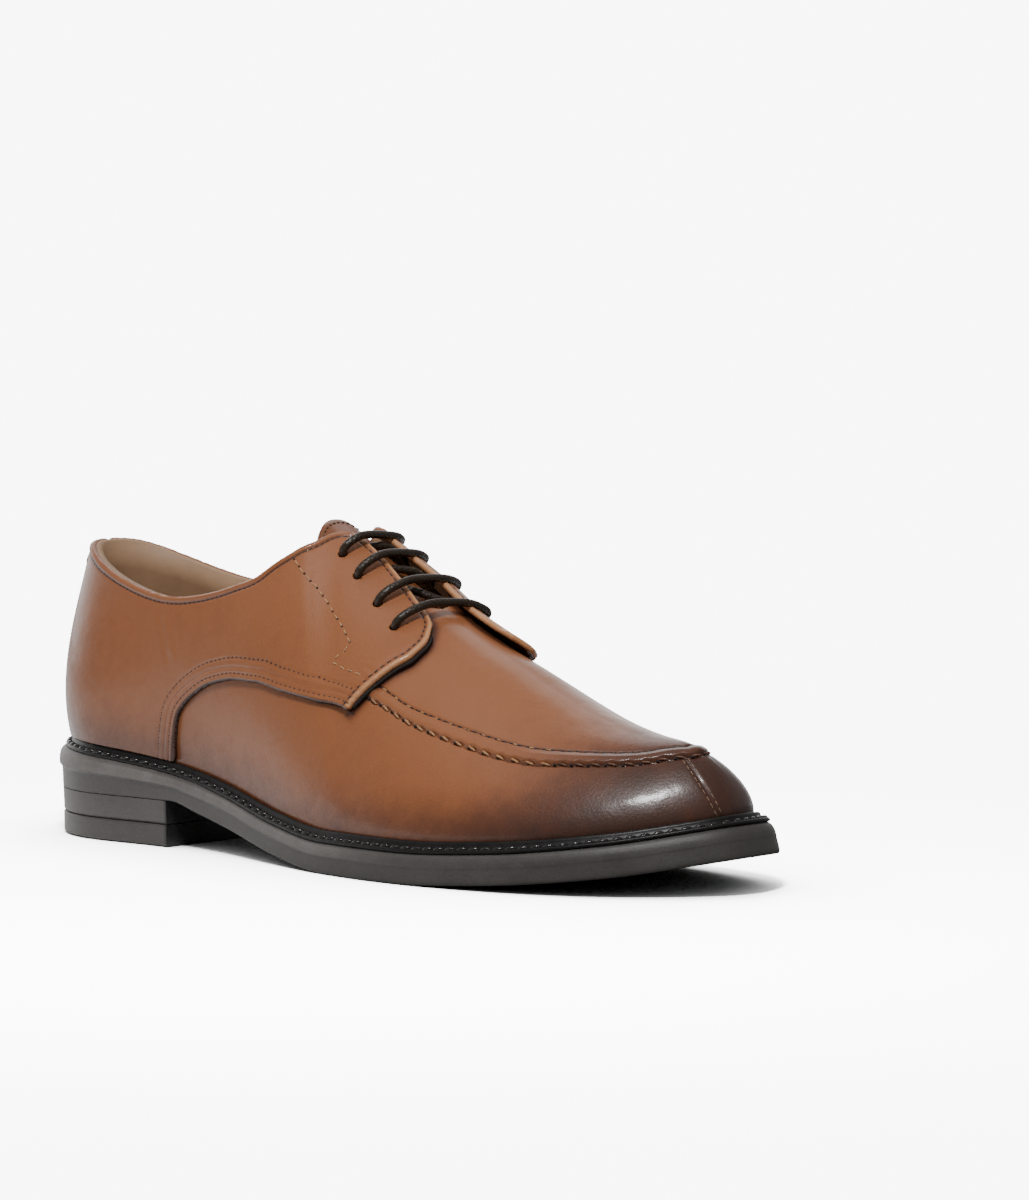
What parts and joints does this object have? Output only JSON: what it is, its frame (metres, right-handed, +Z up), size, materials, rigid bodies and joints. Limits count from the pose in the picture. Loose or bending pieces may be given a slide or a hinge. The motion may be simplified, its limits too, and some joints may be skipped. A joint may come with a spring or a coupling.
{
  "type": "derby shoe",
  "caption": "Right-foot leather derby shoe with a raised apron seam, split toe, open lacing, storm welt and a stacked rubber heel.",
  "frame": {"origin": "middle of the bounding box, on the floor", "axes": "+X to the toe, +Y to the medial side, +Z up"},
  "size_m": [0.311, 0.1021, 0.1162],
  "materials": {
    "leather": "burnished calf, polished",
    "leather_dark": "burnished calf, satin",
    "rubber": "moulded, satin",
    "welt": "black, stitched",
    "lining": "unpolished lining leather",
    "lace": "waxed cord"
  },
  "bodies": {
    "root": {"outsole": "rubber", "heel_lift": "rubber", "heel_top_piece": "rubber", "welt": "welt", "insole": "lining", "upper": "leather", "quarter_lateral": "leather", "quarter_medial": "leather", "tongue": "leather_dark", "lace_bar_1": "lace", "lace_bar_2": "lace", "lace_bar_3": "lace", "lace_bar_4": "lace"}
  },
  "joints": []
}
